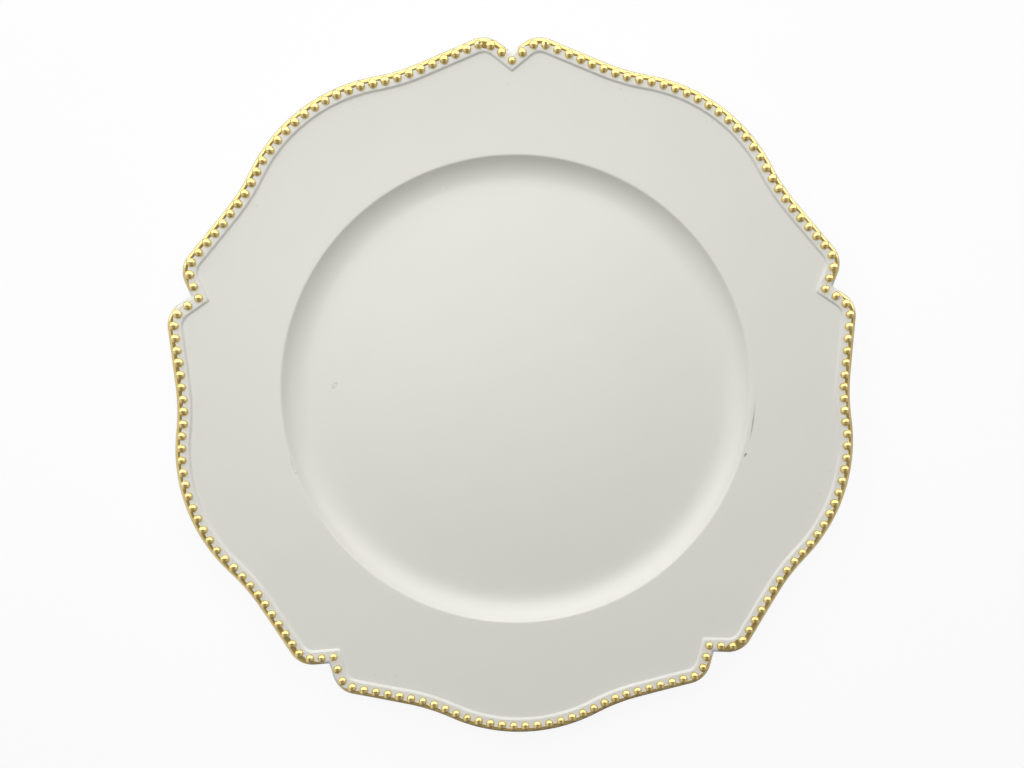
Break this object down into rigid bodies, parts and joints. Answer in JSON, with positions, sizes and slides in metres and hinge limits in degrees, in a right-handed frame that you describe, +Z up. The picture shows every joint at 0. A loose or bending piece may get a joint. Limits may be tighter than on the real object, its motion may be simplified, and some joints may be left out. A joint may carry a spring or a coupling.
{
  "type": "decorative charger plate",
  "caption": "Round decorative charger plate with a shallow well, a broad lobed rim and a raised border of gilded beads, set under a dinner plate or shown by itself.",
  "frame": {"origin": "on the table plane under the axis of the plate, in the middle of the foot ring", "axes": "+Z up out of the well, +Y towards one notch of the edge, +X to the right seen from above"},
  "size_m": [0.3232, 0.33, 0.0227],
  "materials": {
    "lacquer": "off-white satin lacquer over moulded plastic",
    "gilding": "metallic gold paint over moulded plastic, slightly uneven"
  },
  "bodies": {
    "root": {"plate_body": "lacquer", "gilded_beading_1": "gilding", "gilded_beading_2": "gilding", "gilded_beading_3": "gilding", "gilded_beading_4": "gilding", "gilded_beading_5": "gilding", "notch_bead_1": "gilding", "notch_bead_1_left": "gilding", "notch_bead_1_right": "gilding", "notch_bead_2": "gilding", "notch_bead_2_left": "gilding", "notch_bead_2_right": "gilding", "notch_bead_3": "gilding", "notch_bead_3_left": "gilding", "notch_bead_3_right": "gilding", "notch_bead_4": "gilding", "notch_bead_4_left": "gilding", "notch_bead_4_right": "gilding", "notch_bead_5": "gilding", "notch_bead_5_left": "gilding", "notch_bead_5_right": "gilding"}
  },
  "joints": []
}
